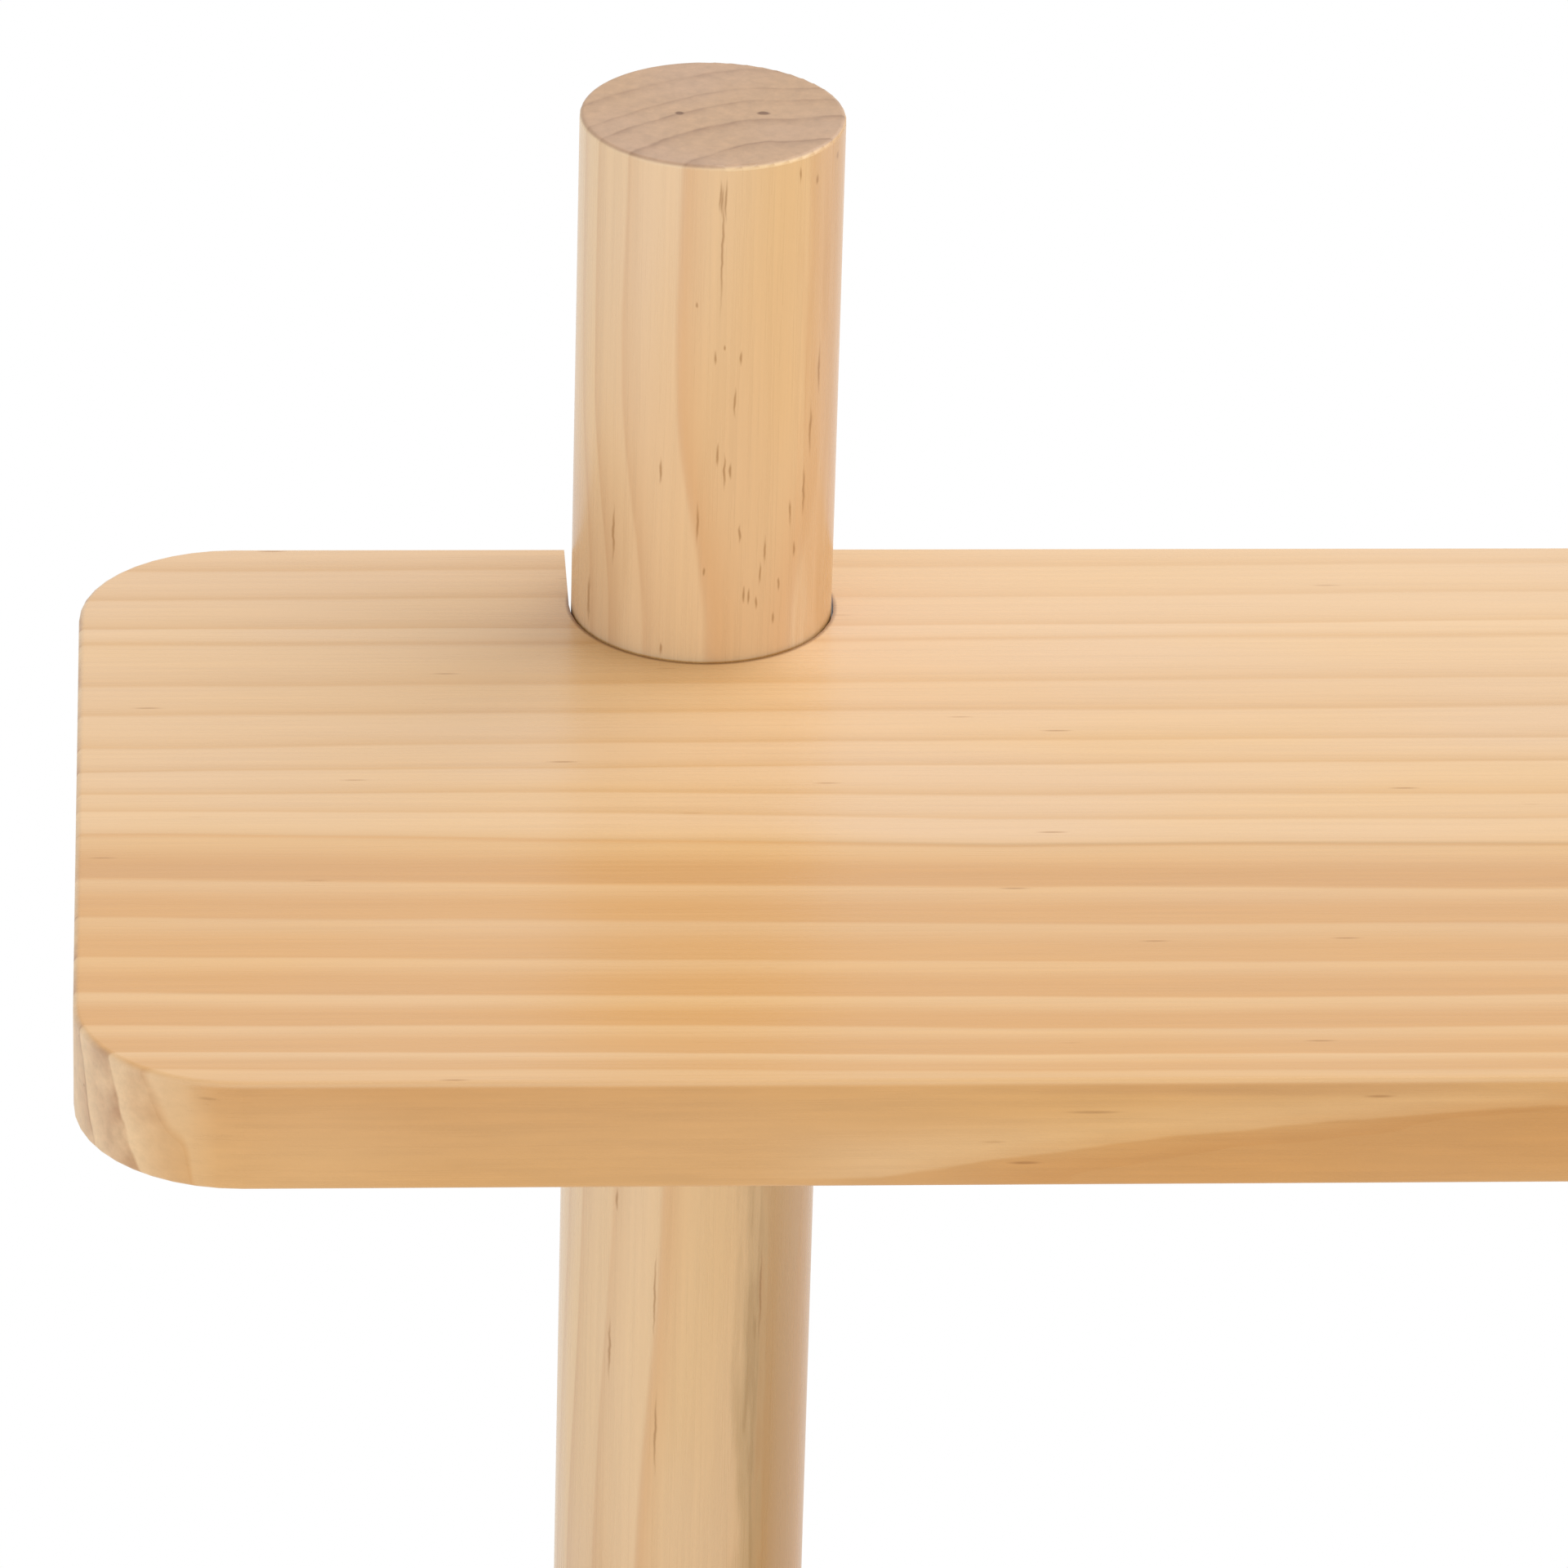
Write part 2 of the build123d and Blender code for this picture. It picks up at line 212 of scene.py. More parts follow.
def shelf_growth(tree, x, y, z):
    """Rings that lean forward as they go down, and fan out slightly towards the right."""
    low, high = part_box("shelf_board")
    lean = 0.28
    growth = add(tree, "Math", {"operation": "MULTIPLY_ADD"}, {0: z, 1: lean, 2: -lean * high.z / MM})
    growth = add(tree, "Math", {"operation": "SUBTRACT"}, {0: growth, 1: y})
    fan = add(tree, "MapRange", {}, {"Value": x, "From Min": -450.0, "From Max": 0.0,
                                     "To Min": -0.4, "To Max": 3.9})
    curve = add(tree, "MapRange", {}, {"Value": x, "From Min": -438.0, "From Max": -308.0,
                                       "To Min": -0.6, "To Max": 2.2})
    front_half = add(tree, "MapRange", {"interpolation_type": "SMOOTHSTEP"},
                     {"Value": y, "From Min": -75.0, "From Max": -105.0})
    calmer = add(tree, "MapRange", {}, {"Value": y, "From Min": -115.0, "From Max": -165.0,
                                        "To Min": 1.0, "To Max": 0.6})
    forward = add(tree, "Math", {"operation": "MULTIPLY_ADD"}, {0: fan, 1: 2.0, 2: curve})
    forward = add(tree, "Math", {"operation": "MULTIPLY"}, {0: forward, 1: front_half})
    forward = add(tree, "Math", {"operation": "MULTIPLY"}, {0: forward, 1: calmer})
    growth = add(tree, "Math", {"operation": "ADD"}, {0: growth, 1: fan})
    growth = add(tree, "Math", {"operation": "SUBTRACT"}, {0: growth, 1: forward})

    # The front face lies nearly flat to the rings, so a slight bow in them draws long lines on it.
    bow = add(tree, "MapRange", {}, {"Value": x, "From Min": -450.0, "From Max": -180.0,
                                     "To Min": 2.03, "To Max": -3.24})
    slope = 0.1
    upright = add(tree, "Math", {"operation": "MULTIPLY_ADD"}, {0: z, 1: -slope, 2: slope * high.z / MM})
    bow = add(tree, "Math", {"operation": "ADD"}, {0: bow, 1: upright})
    return add(tree, "Math", {"operation": "MULTIPLY_ADD"}, {0: bow, 1: front_face(tree, y, z), 2: growth})


def front_face(tree, y, z):
    """1 on the shelf's front face, from where the eased edge turns down, and 0 on its top."""
    ahead = add(tree, "MapRange", {"interpolation_type": "SMOOTHSTEP"},
                {"Value": y, "From Min": -178.2, "From Max": -180.0})
    below = add(tree, "MapRange", {"interpolation_type": "SMOOTHSTEP"},
                {"Value": z, "From Min": 176.6, "From Max": 176.1})
    return add(tree, "Math", {"operation": "MULTIPLY"}, {0: ahead, 1: below})


def nearest_mark(tree, place, marks):
    """The distance from the nearest of some oval marks, in half their size, so 1 at their edge.

    marks lists the middle of each mark and its half sizes in mm, infinite where it goes right through.
    """
    nearest = None
    for middle, half_sizes in marks:
        shrunk = [1 / half_size for half_size in half_sizes]
        away = add(tree, "VectorMath", {"operation": "SUBTRACT"}, {0: place, 1: middle})
        away = add(tree, "VectorMath", {"operation": "MULTIPLY"}, {0: away, 1: shrunk})
        away = add(tree, "VectorMath", {"operation": "LENGTH"}, {0: away}).outputs["Value"]
        nearest = add(tree, "Math", {"operation": "MINIMUM"}, {0: nearest, 1: away}) if nearest else away
    return nearest


def lacquer_and_shade_by_posts(tree, place, wood):
    """Painted shade and lacquer around both posts: a thin brown rim, partly lacquer gathered at the notch and
    partly painted shade of the seam, and a golden painted shadow, warmed like light bounced off the post,
    that fades over 18 mm.
    """
    axes = add(tree, "SeparateXYZ", {}, {0: place})
    mirrored = add(tree, "Math", {"operation": "ABSOLUTE"}, {0: axes.outputs["X"]})
    flat = add(tree, "CombineXYZ", {}, {0: mirrored, 1: axes.outputs["Y"]})
    low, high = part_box("post_right")
    post_axis = ((low.x + high.x) / 2 / MM, (low.y + high.y) / 2 / MM, 0.0)
    radius = (high.x - low.x) / 2 / MM
    from_post = add(tree, "VectorMath", {"operation": "SUBTRACT"}, {0: flat, 1: post_axis})
    away = add(tree, "VectorMath", {"operation": "LENGTH"}, {0: from_post}).outputs["Value"]
    # The rim is partly lacquer gathered at the notch's edge and partly painted shade of the seam.
    rim = add(tree, "MapRange", {"interpolation_type": "SMOOTHSTEP"},
              {"Value": away, "From Min": radius + 1.1, "From Max": radius + 0.4, "To Max": 0.8})
    wood = stained(tree, wood, rim, "#7E4C18")

    # The painted shadow is deepest in front of each post and a little outwards.
    shadow_deepest = (0.42, -0.91, 0.0)
    direction = add(tree, "VectorMath", {"operation": "NORMALIZE"}, {0: from_post})
    in_front = add(tree, "VectorMath", {"operation": "DOT_PRODUCT"}, {0: direction, 1: shadow_deepest})
    in_front = add(tree, "MapRange", {"interpolation_type": "SMOOTHSTEP"},
                   {"Value": in_front.outputs["Value"], "From Min": 0.3, "From Max": 1.05})
    # Painted shadow of the post on the shelf, warmed like light bounced off the post, fading over 18 mm.
    painted_shadow = add(tree, "MapRange", {}, {"Value": away, "From Min": radius + 18.0, "From Max": radius})
    painted_shadow = add(tree, "Math", {"operation": "POWER"}, {0: painted_shadow, 1: 2.0})
    painted_shadow = add(tree, "Math", {"operation": "MULTIPLY"}, {0: painted_shadow, 1: in_front})
    return tinted(tree, wood, painted_shadow, (0.76, 0.7, 0.56))


def front_face_grain(tree, place, face, wood):
    """What the shelf's front face alone has: mottling, a slanting year's end, patches and two streaks."""
    x, _, z = add(tree, "SeparateXYZ", {}, {0: place}).outputs

    # It is cut nearly along the rings, so it is mottled where the cut runs in and out of one.
    drawn_out = add(tree, "VectorMath", {"operation": "MULTIPLY"}, {0: place, 1: (1 / 14, 1.0, 1 / 2)})
    mottle = add(tree, "TexNoise", {}, {"Vector": drawn_out, "Scale": 1.0, "Detail": 2.0})
    mottle = add(tree, "MapRange", {}, {"Value": mottle, "From Min": 0.3, "From Max": 0.7,
                                        "To Min": 0.97, "To Max": 1.03})
    mottle = add(tree, "Mix", {}, {0: face, 2: 1.0, 3: mottle})
    wood = add(tree, "VectorMath", {"operation": "SCALE"}, {0: wood, "Scale": mottle})

    # One year ends in a long, slightly ragged slant across it.
    slant = add(tree, "MapRange", {}, {"Value": x, "From Min": -331.0, "From Max": -287.0,
                                       "To Min": 160.5, "To Max": 167.3})
    farther = add(tree, "MapRange", {}, {"Value": x, "From Min": -287.0, "From Max": -233.0, "To Max": 4.8})
    slant = add(tree, "Math", {"operation": "ADD"}, {0: slant, 1: farther})
    above = add(tree, "Math", {"operation": "SUBTRACT"}, {0: z, 1: slant})
    drawn_out = add(tree, "VectorMath", {"operation": "MULTIPLY"}, {0: place, 1: (1 / 18, 1.0, 1 / 3)})
    ragged = add(tree, "TexNoise", {}, {"Vector": drawn_out, "Scale": 1.0, "Detail": 3.0})
    ragged = add(tree, "MapRange", {}, {"Value": ragged, "To Min": -0.9, "To Max": 0.9})
    above = add(tree, "Math", {"operation": "ADD"}, {0: above, 1: ragged})
    begins = add(tree, "MapRange", {"interpolation_type": "SMOOTHSTEP"},
                 {"Value": x, "From Min": -352.0, "From Max": -328.0})
    on_face = add(tree, "Math", {"operation": "MULTIPLY"}, {0: face, 1: begins})
    over = add(tree, "MapRange", {"interpolation_type": "SMOOTHSTEP"},
               {"Value": above, "From Min": 0.0, "From Max": 0.7})
    under = add(tree, "Math", {"operation": "SUBTRACT"}, {0: 1.0, 1: over})

    # The wood above the slant is light, in a band that thins towards the right.
    depth = add(tree, "MapRange", {}, {"Value": x, "From Min": -335.0, "From Max": -233.0,
                                       "To Min": 11.0, "To Max": 4.0})
    depth = add(tree, "Math", {"operation": "DIVIDE"}, {0: above, 1: depth})
    light = add(tree, "MapRange", {"interpolation_type": "SMOOTHSTEP"},
                {"Value": depth, "From Min": 1.0, "From Max": 0.3})
    lighter = add(tree, "MapRange", {}, {"Value": x, "From Min": -325.0, "From Max": -260.0,
                                         "To Min": 1.0, "To Max": 0.55})
    for share in (over, on_face, lighter):
        light = add(tree, "Math", {"operation": "MULTIPLY"}, {0: light, 1: share})
    wood = tinted(tree, wood, light, (1.09, 1.19, 1.42))

    # The wood below it is dark.
    dark = add(tree, "MapRange", {"interpolation_type": "SMOOTHSTEP"},
               {"Value": above, "From Min": -14.0, "From Max": 0.0})
    darker = add(tree, "MapRange", {}, {"Value": x, "From Min": -320.0, "From Max": -240.0,
                                        "To Min": 0.3, "To Max": 1.0})
    for share in (under, on_face, darker):
        dark = add(tree, "Math", {"operation": "MULTIPLY"}, {0: dark, 1: share})
    wood = tinted(tree, wood, dark, (0.94, 0.91, 0.84))

    # Two broader patches: darker along the face's upper edge, and paler low down by the corner.
    for middle, half_sizes, tone in (((-275.0, 0.0, 175.6), (48.0, math.inf, 2.0), (0.9, 0.87, 0.86)),
                                     ((-427.0, 0.0, 165.0), (36.0, math.inf, 18.0), (1.05, 1.11, 1.25))):
        patch = add(tree, "MapRange", {"interpolation_type": "SMOOTHSTEP"},
                    {"Value": nearest_mark(tree, place, [(middle, half_sizes)]),
                     "From Min": 1.0, "From Max": 0.3})
        patch = add(tree, "Math", {"operation": "MULTIPLY"}, {0: patch, 1: face})
        wood = tinted(tree, wood, patch, tone)

    streaks = [((-299.8, 0.0, 171.6), (5.6, math.inf, 0.35)), ((-430.3, 0.0, 174.3), (2.0, math.inf, 0.35))]
    streaked = add(tree, "MapRange", {"interpolation_type": "SMOOTHSTEP"},
                   {"Value": nearest_mark(tree, place, streaks),
                    "From Min": 1.0, "From Max": 0.2, "To Max": 0.45})
    streaked = add(tree, "Math", {"operation": "MULTIPLY"}, {0: streaked, 1: face})
    return stained(tree, wood, streaked, "#9C6C38")


def shelf_marks(tree, place, growth, end_grain, wood):
    """Lacquer and painted shade by the posts, paler wood at the back, some darker years, and the front face's
    grain and partly painted shade.
    """
    wood = lacquer_and_shade_by_posts(tree, place, wood)
    x, y, z = add(tree, "SeparateXYZ", {}, {0: place}).outputs
    back = add(tree, "MapRange", {"interpolation_type": "SMOOTHSTEP"},
               {"Value": y, "From Min": -62.0, "From Max": -10.0, "To Max": 0.3})
    beyond_post = add(tree, "MapRange", {"interpolation_type": "SMOOTHSTEP"},
                      {"Value": x, "From Min": -360.0, "From Max": -310.0})
    back = add(tree, "Math", {"operation": "MULTIPLY"}, {0: back, 1: beyond_post})
    wood = stained(tree, wood, back, "#EFCFA9")

    # The first warm years are the darkest, and start in a thin dark line. Each tone has the growths
    # where it starts, is full, starts to fade and stops, and the share of it that shows.
    for start, full, fades, stop, share, tone in (
            (101.2, 102.6, 115.6, 115.9, 1.0, (0.97, 0.945, 0.905)),
            (105.0, 112.0, 115.6, 115.9, 1.0, (0.97, 0.96, 0.955)),
            (127.3, 127.7, 130.5, 137.0, 1.0, (0.963, 0.948, 0.937)),
            (116.8, 118.5, 121.0, 127.0, 1.0, (0.98, 0.972, 0.97)),
            (100.5, 101.1, 101.3, 102.7, beyond_post, (0.9, 0.895, 0.85))):
        begun = add(tree, "MapRange", {"interpolation_type": "SMOOTHSTEP"},
                    {"Value": growth, "From Min": start, "From Max": full})
        lasting = add(tree, "MapRange", {"interpolation_type": "SMOOTHSTEP"},
                      {"Value": growth, "From Min": stop, "From Max": fades})
        shown = add(tree, "Math", {"operation": "MULTIPLY"}, {0: begun, 1: lasting})
        shown = add(tree, "Math", {"operation": "MULTIPLY"}, {0: shown, 1: share})
        wood = tinted(tree, wood, shown, tone)

    # All of the front face is deeper gold than the top: partly the heartwood's own colour, and partly painted
    # shade for the light from above that the face misses.
    face = front_face(tree, y, z)
    wood = tinted(tree, wood, face, (0.935, 0.833, 0.645))
    return front_face_grain(tree, place, face, wood)


ALONG_X, ALONG_Y, ALONG_Z = 0, 1, 2
SHELF_RINGS = (-20, -9, 7.8, 18.5, 29.2, 34.6, 49.2, 59.5, 70.5, 78.5, 87.3, 93.4, 101.4, 115.8,
               127.5, 140.4, 151.7, 162, 170.2, 175, 187, 198)
SHELF_COLOURS = {
    "pale early": "#E6C194", "pale late": "#D9AE7A", "warm early": "#E1B885", "warm late": "#D5A369",
    "end early": "#EDCBA0", "end late": "#AB7955",
}

dress("shelf_board", pine("planed pine plank, satin lacquer", ALONG_X, shelf_growth, SHELF_RINGS,
                          warm_between=(101.0, 101.8), darkens=(0.12, 0.7), colours=SHELF_COLOURS,
                          end_steepness=1.3, fleck_share=0.9, marks=shelf_marks))


# ---- Posts -------------------------------------------------------------------------------------
# The posts are turned from pine to 42 mm, with the grain upright, and stand in the shelf's notches.
# The tree's centre lies in front of each and to its right, so the year rings are arcs on the sawn
# ends, and upright lines on the sides, farther apart where they lie flat to the surface.

POST_COLOURS = {
    "pale early": "#F0D2A8", "pale late": "#E3C096", "warm early": "#EAC899", "warm late": "#E2B888",
    "end early": "#BC997A", "end late": "#9C795D",
}


def post_growth(post, sway):
    """Rings about a centre 60 mm in front of one post's axis and to its right.

    sway lists how the rings bend up the post: from one height to another, by how much, in mm.
    """
    low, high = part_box(post)
    axis_x = (low.x + high.x) / 2 / MM
    axis_y = (low.y + high.y) / 2 / MM

    def growth(tree, x, y, z):
        off_axis = 60.0
        centre = (axis_x + 27.2, axis_y - 53.5, 0.0)
        flat = add(tree, "CombineXYZ", {}, {0: x, 1: y})
        radius = add(tree, "VectorMath", {"operation": "DISTANCE"}, {0: flat, 1: centre})
        growth = add(tree, "Math", {"operation": "SUBTRACT"}, {0: radius.outputs["Value"], 1: off_axis})
        # The rings crowd together to the right of where they lie flat to the surface.
        tighter = add(tree, "MapRange", {"interpolation_type": "SMOOTHSTEP"},
                      {"Value": x, "From Min": axis_x + 4, "From Max": axis_x + 15, "To Max": 2.6})
        growth = add(tree, "Math", {"operation": "ADD"}, {0: growth, 1: tighter})
        for start, stop, shift in sway:
            bend = add(tree, "MapRange", {"interpolation_type": "SMOOTHSTEP"},
                       {"Value": z, "From Min": start, "From Max": stop, "To Max": shift})
            growth = add(tree, "Math", {"operation": "ADD"}, {0: growth, 1: bend})
        return growth

    return growth


def seam_shade_and_lacquer(tree, place, growth, end_grain, wood):
    """Painted shade of the narrow gap, and lacquer, brown, where the post goes through the shelf's notch."""
    low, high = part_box("shelf_board")
    middle = (low.z + high.z) / 2 / MM
    half_thickness = (high.z - low.z) / 2 / MM
    axes = add(tree, "SeparateXYZ", {}, {0: place})
    from_middle = add(tree, "Math", {"operation": "SUBTRACT"}, {0: axes.outputs["Z"], 1: middle})
    from_middle = add(tree, "Math", {"operation": "ABSOLUTE"}, {0: from_middle})
    # Painted shade: the post is darkened inside the shelf's notch and just beyond it, where the gap shades
    # it.
    shaded_seam = add(tree, "MapRange", {"interpolation_type": "SMOOTHSTEP"},
                 {"Value": from_middle, "From Min": half_thickness + 0.25, "From Max": half_thickness})
    return tinted(tree, wood, shaded_seam, (0.9, 0.7, 0.42))


def left_post_marks(tree, place, growth, end_grain, wood):
    """The seam at the shelf with its painted shade, browner flanks and foot, painted shade on the left just
    above the shelf, resin streaks, and two small pits in the top end.
    """
    wood = seam_shade_and_lacquer(tree, place, growth, end_grain, wood)
    low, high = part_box("post_left")
    axis_x = (low.x + high.x) / 2 / MM
    axis_y = (low.y + high.y) / 2 / MM
    centred = add(tree, "VectorMath", {"operation": "SUBTRACT"}, {0: place, 1: (axis_x, axis_y, 0.0)})
    x, y, z = add(tree, "SeparateXYZ", {}, {0: centred}).outputs

    # Where on the post each flank shows. Below the shelf the post is browner towards its foot.
    low_down = add(tree, "MapRange", {"interpolation_type": "SMOOTHSTEP"},
                   {"Value": z, "From Min": 150.0, "From Max": 20.0})
    # Painted shade of the shelf on the post, just above it.
    shade_near_shelf = add(tree, "MapRange", {"interpolation_type": "SMOOTHSTEP"},
                     {"Value": z, "From Min": 216.0, "From Max": 190.0})
    above_shelf = add(tree, "Math", {"operation": "GREATER_THAN"}, {0: z, 1: 176.0})
    shade_near_shelf = add(tree, "Math", {"operation": "MULTIPLY"}, {0: shade_near_shelf, 1: above_shelf})
    foot = add(tree, "MapRange", {"interpolation_type": "SMOOTHSTEP"},
               {"Value": z, "From Min": 120.0, "From Max": 10.0})
    wood = tinted(tree, wood, foot, (0.95, 0.92, 0.87))
    sides = add(tree, "Math", {"operation": "SUBTRACT"}, {0: 1.0, 1: end_grain})

    # The angle around the post, from 0 in front to 90 degrees on its right, with ragged edges.
    forward = add(tree, "Math", {"operation": "MULTIPLY"}, {0: y, 1: -1.0})
    angle = add(tree, "Math", {"operation": "ARCTAN2"}, {0: x, 1: forward})
    drawn_out = add(tree, "VectorMath", {"operation": "MULTIPLY"}, {0: place, 1: (1 / 2, 1 / 2, 1 / 25)})
    ragged = add(tree, "TexNoise", {}, {"Vector": drawn_out, "Scale": 1.0, "Detail": 3.0})
    ragged = add(tree, "MapRange", {}, {"Value": ragged, "To Min": math.radians(-12),
                                        "To Max": math.radians(12)})
    angle = add(tree, "Math", {"operation": "ADD"}, {0: angle, 1: ragged})

    # The flanks: the angles where each starts, is full, starts to fade and stops, its colour, the share of it
    # that shows, and where. A grey-green strip edges the brown one below the shelf. The last is painted shade
    # on the post's left just above the shelf.
    for start, full, fades, stop, colour, share, where in (
            (38, 52, 70, 95, "#DCB281", 0.78, sides),
            (18, 29, 70, 95, "#C3A475", 0.75, low_down),
            (28, 31, 31, 36, "#A98655", 0.45, low_down),
            (32, 38, 70, 95, "#C49B69", 0.76, low_down),
            (12, 30, 100, 120, "#A98250", 0.12, foot),
            (52, 68, 130, 150, "#C9985A", 0.6, sides),
            (-110, -95, -48, -27, "#C49A6C", 0.28, shade_near_shelf)):
        begun = add(tree, "MapRange", {"interpolation_type": "SMOOTHSTEP"},
                    {"Value": angle, "From Min": math.radians(start), "From Max": math.radians(full)})
        lasting = add(tree, "MapRange", {"interpolation_type": "SMOOTHSTEP"},
                      {"Value": angle, "From Min": math.radians(stop), "From Max": math.radians(fades)})
        flank = add(tree, "Math", {"operation": "MULTIPLY"}, {0: begun, 1: lasting})
        flank = add(tree, "Math", {"operation": "MULTIPLY"}, {0: flank, 1: where})
        flank = add(tree, "Math", {"operation": "MULTIPLY"}, {0: flank, 1: share})
        wood = stained(tree, wood, flank, colour)

    # Streaks and pits have slightly uneven outlines.
    unrest = add(tree, "TexNoise", {}, {"Vector": place, "Scale": 1 / 3, "Detail": 2.0})
    unrest = add(tree, "VectorMath", {"operation": "SUBTRACT"},
                 {0: unrest.outputs["Color"], 1: (0.5, 0.5, 0.5)})
    uneven = add(tree, "VectorMath", {"operation": "MULTIPLY_ADD"},
                 {0: unrest, 1: (0.6, 0.6, 2.0), 2: centred})

    # Streaks on the front: how far across from the axis, how high, and half their length, in mm.
    streaks = (
        (0.7, 249, 10.5), (0.2, 258, 2.6), (1.1, 257.5, 3.4), (0.5, 257.2, 2.6), (13, 259.7, 1.3),
        (15.7, 258, 1.1), (19.2, 259.4, 1.1), (-3.1, 239.4, 0.5), (1.5, 232.3, 0.5), (0, 230.4, 1.2),
        (4.1, 230, 1.4), (17, 224.5, 4.5), (3.3, 222.7, 2.5), (15.8, 214.5, 4.5), (0.8, 213.5, 2),
        (1.9, 210.6, 3), (2.8, 210.6, 1.4), (-8.1, 210, 2.4), (14.9, 204.5, 4.3), (12.7, 201.5, 2.2),
        (-2.2, 201.5, 3.6), (4.6, 199.4, 1.8), (-15.1, 196.7, 5), (8.7, 196, 2.2), (13.6, 194.6, 1.4),
        (-1, 193, 0.8), (8, 192, 2.2), (11.2, 189.3, 1.1), (5.5, 188.7, 1.4), (6.3, 188.2, 1.5),
        (7.6, 186.8, 1.3), (10.4, 183.8, 1.3), (-18.6, 183, 4.8), (-7.6, 178.6, 1.2), (-12.4, 76.5, 2),
        (-6.1, 60, 8), (11.5, 59, 8.5), (-13.2, 48, 5.5), (-5.5, 34, 7.5))
    # A streak fades out towards its ends, so the oval that draws it is a little longer.
    half_width = 0.26
    shown_length = 0.85
    ovals = [((across, 0.0, height), (half_width, math.inf, half_length / shown_length))
             for across, height, half_length in streaks]
    streaked = add(tree, "MapRange", {"interpolation_type": "SMOOTHSTEP"},
                   {"Value": nearest_mark(tree, uneven, ovals),
                    "From Min": 1.1, "From Max": 0.2, "To Max": 0.6})
    on_front = add(tree, "Math", {"operation": "LESS_THAN"}, {0: y, 1: 0.0})
    streaked = add(tree, "Math", {"operation": "MULTIPLY"}, {0: streaked, 1: on_front})
    wood = stained(tree, wood, streaked, "#9C6C38")

    half_depth = 1 / 1.2
    pits = [((-5.3, 0.0, 0.0), (0.9, half_depth, math.inf)), ((7.9, 0.0, 0.0), (1.3, half_depth, math.inf))]
    pitted = add(tree, "MapRange", {"interpolation_type": "SMOOTHSTEP"},
                 {"Value": nearest_mark(tree, uneven, pits),
                  "From Min": 1.0, "From Max": 0.5, "To Max": 0.9})
    pitted = add(tree, "Math", {"operation": "MULTIPLY"}, {0: pitted, 1: end_grain})
    return stained(tree, wood, pitted, "#6E4A2C")


POST_RINGS = (-34, -24, -14, -5.4, 1.5, 5.9, 13.5, 21, 30)
LEFT_SWAY = ((205, 240, -0.9), (222, 182, 3.9), (170, 80, -3.9), (75, 0, -3.0))
RIGHT_SWAY = ((240, 120, -3.0), (60, -60, 4.0))

post_low, post_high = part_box("post_left")
POST_ENDS = (post_low.z / MM, post_high.z / MM)

dress("post_left", pine("turned pine post, satin lacquer", ALONG_Z,
                        post_growth("post_left", LEFT_SWAY), POST_RINGS,
                        warm_between=(-13.2, -14.8), darkens=(0.6, 1.1), colours=POST_COLOURS,
                        end_steepness=7, fleck_share=0.25, ends=POST_ENDS, marks=left_post_marks))
dress("post_right", pine("turned pine right-hand post, satin lacquer", ALONG_Z,
                         post_growth("post_right", RIGHT_SWAY), POST_RINGS,
                         warm_between=(-13.2, -14.8), darkens=(0.6, 1.1), colours=POST_COLOURS,
                         end_steepness=7, fleck_share=0.5, ends=POST_ENDS, marks=seam_shade_and_lacquer))


# ---- Peg rail ----------------------------------------------------------------------------------
# The rail is a plank of the same pine, 18 mm thick, bolted to the fronts of the posts and sawn
# nearer to the tree's centre. The rings lie flatter in its face, and run out into long arches.


def rail_growth(tree, x, y, z):
    """Rings about a centre behind the rail that slowly draws away from it to the right."""
    low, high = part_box("peg_rail")
    middle_z = (low.z + high.z) / 2 / MM
    behind = add(tree, "Math", {"operation": "MULTIPLY_ADD"}, {0: x, 1: 0.05, 2: 55.0})
    away = add(tree, "Math", {"operation": "SUBTRACT"}, {0: behind, 1: y})
    across = add(tree, "Math", {"operation": "SUBTRACT"}, {0: z, 1: middle_z - 14.0})
    flat = add(tree, "CombineXYZ", {}, {0: away, 1: across})
    radius = add(tree, "VectorMath", {"operation": "LENGTH"}, {0: flat})
    return radius.outputs["Value"]


RAIL_COLOURS = SHELF_COLOURS | {"pale late": "#DDB584", "warm early": "#E1B986", "warm late": "#D8A970"}
RAIL_RINGS = [60 + 9.0 * i + 2.2 * math.sin(2.3 * i) for i in range(12)]

dress("peg_rail", pine("planed pine rail, satin lacquer", ALONG_X, rail_growth, RAIL_RINGS,
                       warm_between=(108, 98), darkens=(0.12, 0.6), colours=RAIL_COLOURS,
                       end_steepness=1.3, fleck_share=0.35))


# ---- Pegs --------------------------------------------------------------------------------------
# Each peg is turned from pine on a lathe, with the grain along it, and glued into the rail by its
# tenon. Each comes from its own stick, so the rings cross every peg at a different place.

peg_names = sorted(name for name in nodes if name.startswith("peg_") and name != "peg_rail")


def peg_growth(peg, number):
    """Rings about a centre to one side of the peg's axis, in a direction that differs for each peg."""
    low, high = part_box(peg)
    off_axis = 45
    turn = 2.4 * number
    centre_x = (low.x + high.x) / 2 / MM + off_axis * math.cos(turn)
    centre_z = (low.z + high.z) / 2 / MM + off_axis * math.sin(turn)

    def growth(tree, x, y, z):
        flat = add(tree, "CombineXYZ", {}, {0: x, 2: z})
        radius = add(tree, "VectorMath", {"operation": "DISTANCE"}, {0: flat, 1: (centre_x, 0.0, centre_z)})
        return radius.outputs["Value"]

    return growth


PEG_COLOURS = POST_COLOURS | {"end early": "#D3B18E", "end late": "#B48D6C"}
PEG_RINGS = [28 + 4.6 * i + 0.9 * math.sin(2.9 * i) for i in range(9)]

for number, peg in enumerate(peg_names):
    dress(peg, pine("turned pine " + peg + ", satin lacquer", ALONG_Y, peg_growth(peg, number), PEG_RINGS,
                    warm_between=(47, 44), darkens=(0.35, 1.1), colours=PEG_COLOURS,
                    end_steepness=4, fleck_share=0.3))


# ---- Bolts and washers -------------------------------------------------------------------------
# M6 socket-head bolts of zinc-plated steel, let into the backs of the posts on plain washers.
# The plating is bright, faintly blue and even, over the fine marks that forging leaves.


